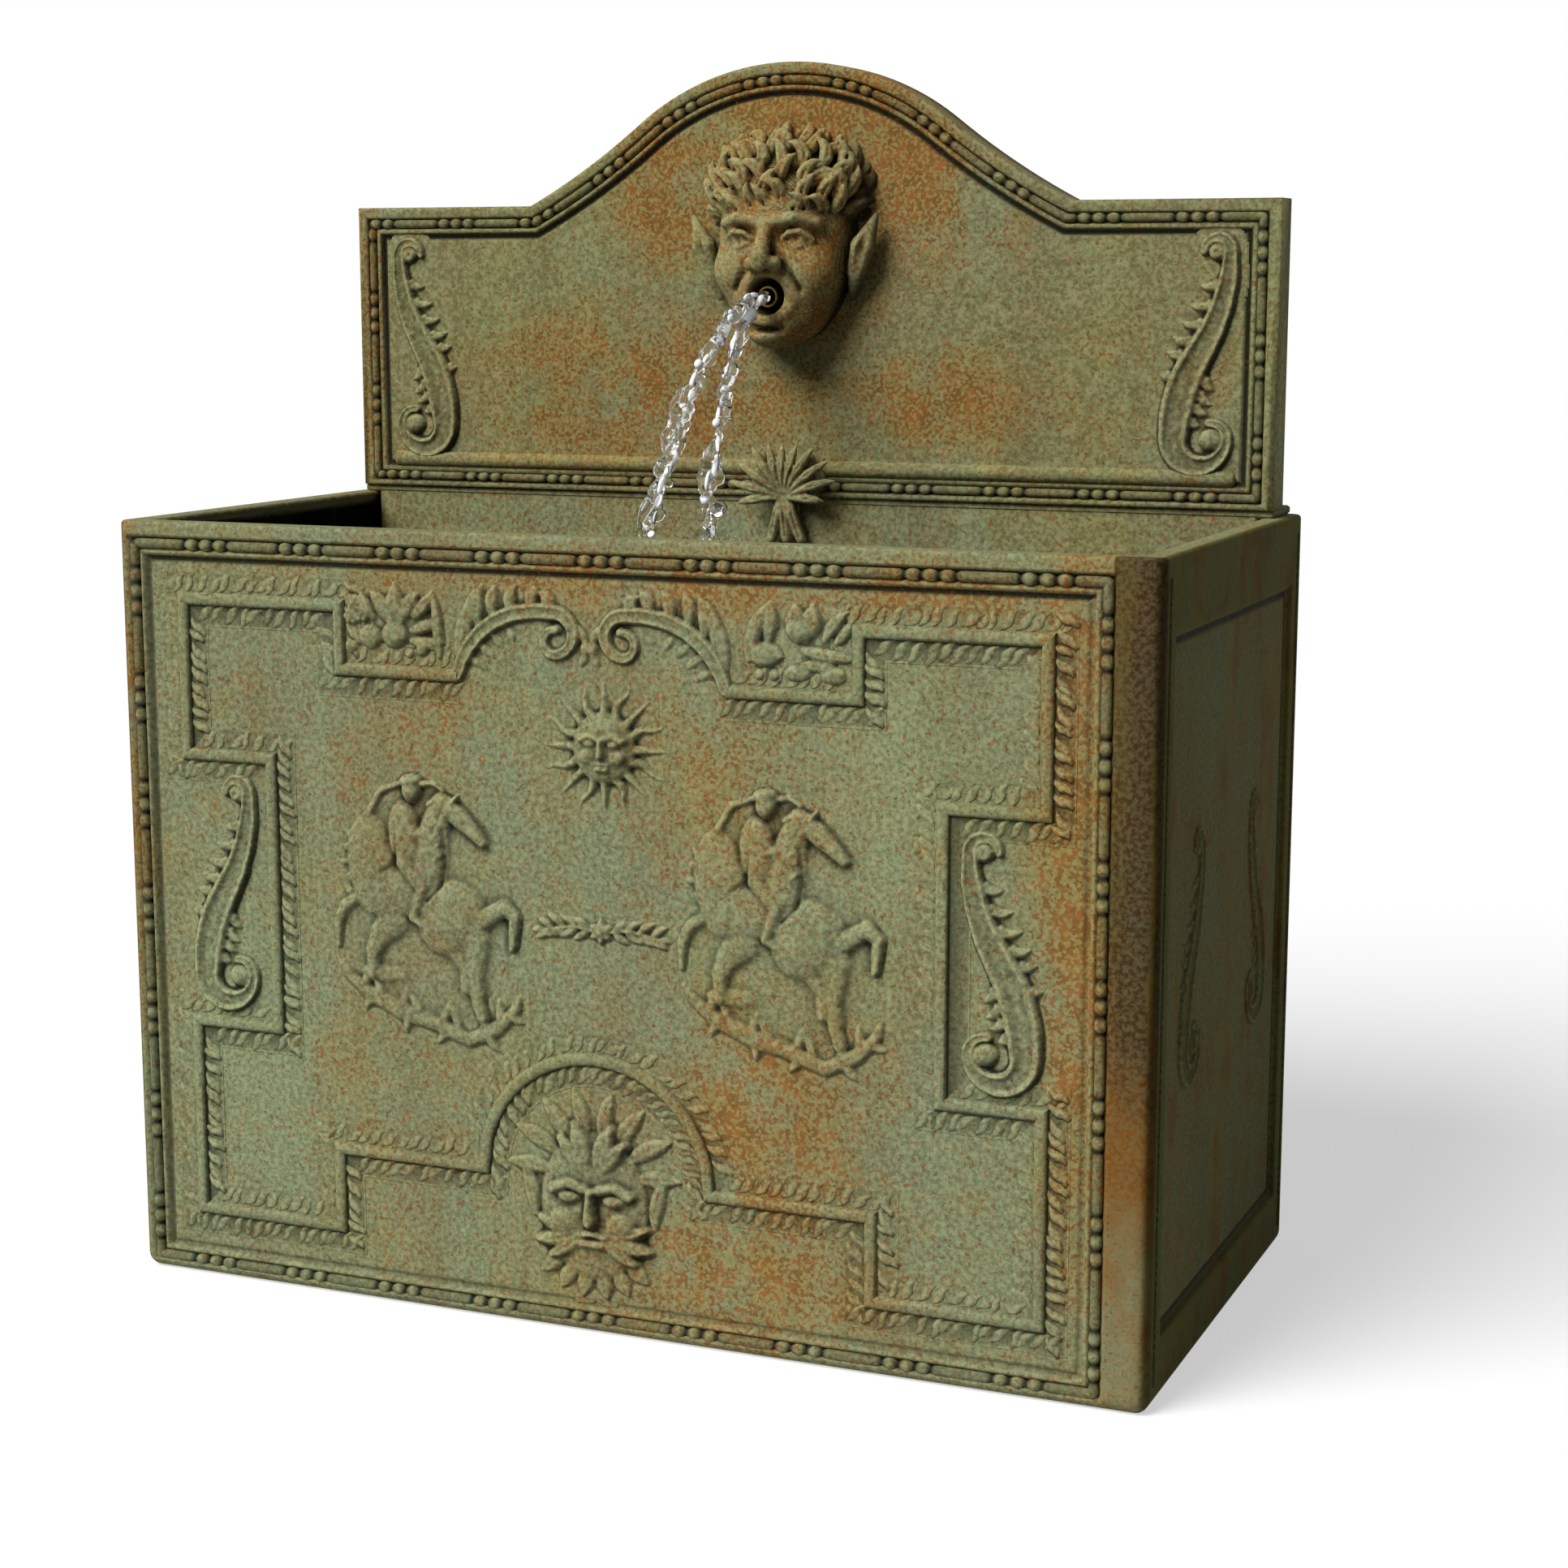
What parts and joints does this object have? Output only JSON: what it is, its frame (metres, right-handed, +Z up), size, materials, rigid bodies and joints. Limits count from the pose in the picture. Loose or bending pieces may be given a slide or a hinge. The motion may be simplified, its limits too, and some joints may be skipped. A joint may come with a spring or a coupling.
{
  "type": "garden wall fountain",
  "caption": "Self-contained wall fountain: a rectangular relief-moulded cistern tank with an arched splashback, a mask spout, a hidden riser pipe and a submersible pump.",
  "frame": {"origin": "middle of the tank's footprint, on the ground", "axes": "+Z up, -Y out of the decorated front, +X to the right seen from the front"},
  "size_m": [0.8, 0.4, 0.9209],
  "materials": {
    "verdigris_resin": "matt verdigris and rust patina over moulded resin",
    "stainless_steel": "bright",
    "brass_fitting": "machined",
    "black_rubber": "matt",
    "grey_pipe_plastic": "smooth",
    "pump_plastic": "satin",
    "dial_plastic": "satin",
    "rotor_plastic": "satin",
    "motor_steel": "laminated",
    "copper_winding": "enamelled wire"
  },
  "bodies": {
    "fountain": {"cistern_tank": "verdigris_resin", "splashback_panel": "verdigris_resin", "face_mask": "verdigris_resin", "leaf_ornament": "verdigris_resin", "panel_bolts": "stainless_steel", "panel_bolt_washers": "stainless_steel", "mask_screws": "stainless_steel", "leaf_screws": "stainless_steel", "rotor_shaft": "stainless_steel", "panel_inserts": "brass_fitting", "spout_pipe": "brass_fitting", "spout_lock_nut": "brass_fitting", "spout_seal_washer": "black_rubber", "outlet_seal": "black_rubber", "shaft_bushes": "black_rubber", "pump_suction_cups": "black_rubber", "pump_cable_gland": "black_rubber", "cable_grommet": "black_rubber", "spout_elbow": "grey_pipe_plastic", "riser_pipe": "grey_pipe_plastic", "pipe_clips": "grey_pipe_plastic", "riser_union_nut": "grey_pipe_plastic", "drain_bush": "grey_pipe_plastic", "pump_housing": "pump_plastic", "chamber_cover": "pump_plastic", "stator_core": "motor_steel", "stator_coil": "copper_winding"},
    "rotor": {"pump_rotor": "rotor_plastic"},
    "strainer": {"pump_strainer": "pump_plastic"},
    "dial": {"flow_dial": "dial_plastic"},
    "bung": {"drain_bung": "black_rubber"}
  },
  "joints": [
    {"name": "impeller_spin", "type": "hinge", "parent": "fountain", "child": "rotor", "pos_m": [0, 0.149, 0.054], "axis": [1, 0, 0], "continuous": true},
    {"name": "strainer_pull", "type": "slide", "parent": "fountain", "child": "strainer", "axis": [1, 0, 0], "range_m": [0, 0.05]},
    {"name": "flow_dial_turn", "type": "hinge", "parent": "strainer", "child": "dial", "pos_m": [0, 0.149, 0.054], "axis": [1, 0, 0], "range_deg": [0, 120]},
    {"name": "bung_pull", "type": "slide", "parent": "fountain", "child": "bung", "axis": [0, 0, 1], "range_m": [0, 0.06]}
  ]
}
